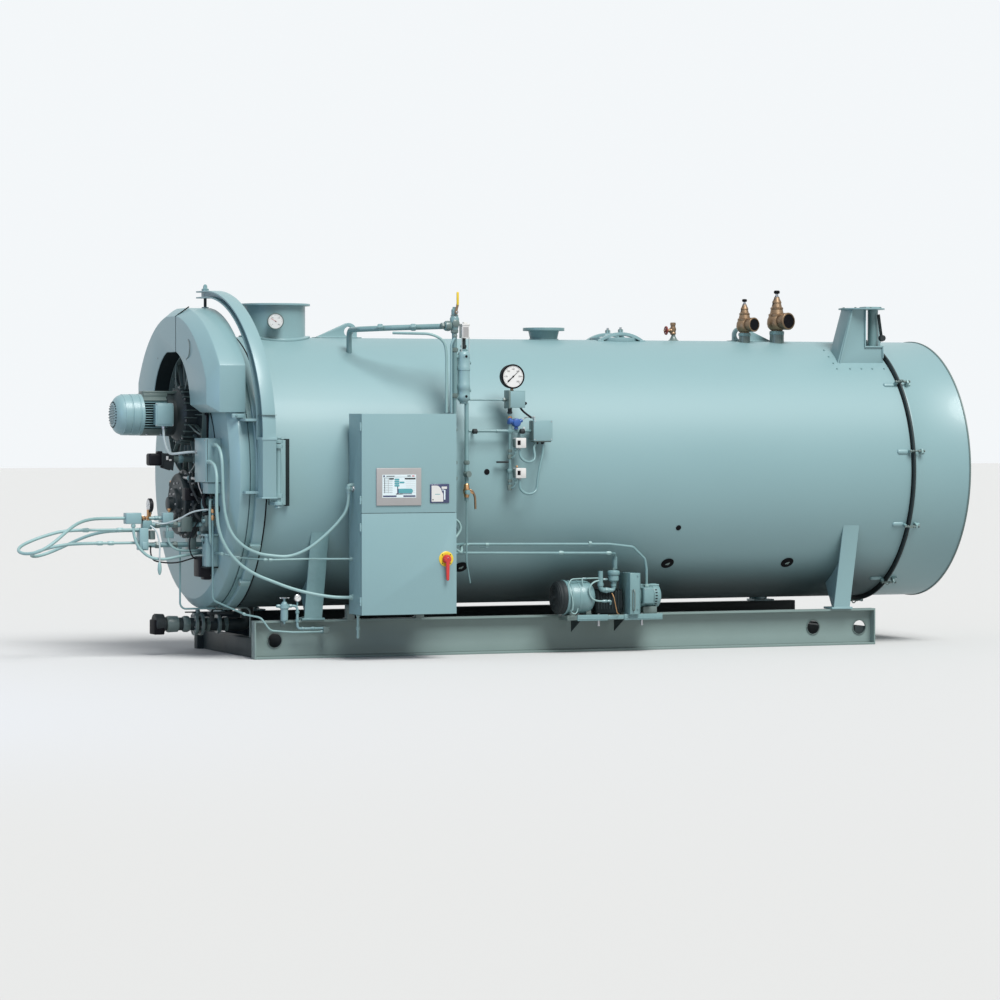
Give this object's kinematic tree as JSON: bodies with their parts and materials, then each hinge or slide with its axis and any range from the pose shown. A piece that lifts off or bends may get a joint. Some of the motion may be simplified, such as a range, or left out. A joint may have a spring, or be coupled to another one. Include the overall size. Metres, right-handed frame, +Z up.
{
  "type": "packaged firetube boiler",
  "caption": "Packaged horizontal firetube boiler on a channel skid, with hinged burner head on a davit, control cabinet, water column, valves and air compressor.",
  "frame": {"origin": "on the floor, under the middle cross member, midway along the skid and on the boiler's centre plane", "axes": "+X along the boiler from the burner end to the rear, +Y to the far side, away from the cabinet, +Z up"},
  "size_m": [9.6007, 3.0932, 3.546],
  "materials": {
    "boiler_paint": "gloss enamel",
    "bronze": "cast bronze",
    "white_plastic": "moulded",
    "black_plastic": "moulded",
    "dark_screen": "screen glass",
    "red_plastic": "moulded",
    "yellow_vinyl": "dipped vinyl",
    "red_iron": "enamel",
    "motor_paint": "enamel on castings",
    "hose_paint": "sleeved hose",
    "dark_steel": "painted, in shade"
  },
  "bodies": {
    "boiler": {"skid_rail_near": "boiler_paint", "skid_rail_far": "boiler_paint", "skid_cross_members": "boiler_paint", "front_saddle": "boiler_paint", "rear_saddle": "boiler_paint", "shell_jacket": "boiler_paint", "front_tube_sheet": "dark_steel", "rear_tube_sheet": "dark_steel", "furnace_tube": "dark_steel", "front_flange_ring": "boiler_paint", "rear_flange_ring": "boiler_paint", "rear_head": "boiler_paint", "rear_seam_clamps": "boiler_paint", "stack_outlet": "boiler_paint", "stack_thermometer": "black_plastic", "lifting_lugs": "boiler_paint", "steam_nozzle": "boiler_paint", "manway": "boiler_paint", "vent_valve": "bronze", "safety_valves": "bronze", "rear_davit_base": "boiler_paint", "hinge_bracket": "boiler_paint", "blowdown_piping": "dark_steel", "control_cabinet": "boiler_paint", "cabinet_arms": "boiler_paint", "water_column": "boiler_paint", "level_probe": "white_plastic", "column_piping": "boiler_paint", "column_drain": "bronze", "pressure_gauge": "black_plastic", "pressure_manifold": "boiler_paint", "pressure_controls": "white_plastic", "controls_junction_box": "boiler_paint", "conduit_runs": "boiler_paint", "compressor": "boiler_paint", "air_regulator_lines": "boiler_paint", "conduit_upper_boiler": "hose_paint", "conduit_lower_boiler": "hose_paint"},
    "front_head": {"front_head": "boiler_paint", "air_shroud": "boiler_paint", "davit_arm": "boiler_paint", "fan_motor": "motor_paint", "burner_housing": "dark_steel", "head_junction_box": "boiler_paint", "fuel_train": "boiler_paint", "burner_drives": "black_plastic", "head_tubes": "boiler_paint", "oil_hose_upper": "hose_paint", "oil_hose_lower": "hose_paint", "conduit_upper_head": "hose_paint", "conduit_lower_head": "hose_paint", "motor_lead": "hose_paint"},
    "upper_door": {"cabinet_upper_door": "boiler_paint", "cabinet_screen": "dark_screen"},
    "lower_door": {"cabinet_lower_door": "boiler_paint"},
    "disconnect": {"disconnect_handle": "red_plastic"},
    "ball_lever": {"ball_valve_lever": "yellow_vinyl"},
    "vent_wheel": {"vent_handwheel": "red_iron"}
  },
  "joints": [
    {"name": "front_head_swing", "type": "hinge", "parent": "boiler", "child": "front_head", "pos_m": [-3.171, -1.4, 1.74], "axis": [0, 0, 1], "range_deg": [0, 100]},
    {"name": "upper_door_swing", "type": "hinge", "parent": "boiler", "child": "upper_door", "pos_m": [-2.453, -1.652, 1.838], "axis": [0, 0, -1], "range_deg": [0, 115]},
    {"name": "lower_door_swing", "type": "hinge", "parent": "boiler", "child": "lower_door", "pos_m": [-2.453, -1.652, 0.905], "axis": [0, 0, -1], "range_deg": [0, 115]},
    {"name": "disconnect_turn", "type": "hinge", "parent": "lower_door", "child": "disconnect", "pos_m": [-1.609, -1.7, 0.944], "axis": [0, 1, 0], "range_deg": [0, 90]},
    {"name": "ball_lever_turn", "type": "hinge", "parent": "boiler", "child": "ball_lever", "pos_m": [-1.412, -1.424, 3.255], "axis": [0, 1, 0], "range_deg": [0, 90]},
    {"name": "vent_wheel_turn", "type": "hinge", "parent": "boiler", "child": "vent_wheel", "pos_m": [1.39, 0, 3.135], "axis": [1, 0, 0], "continuous": true}
  ]
}
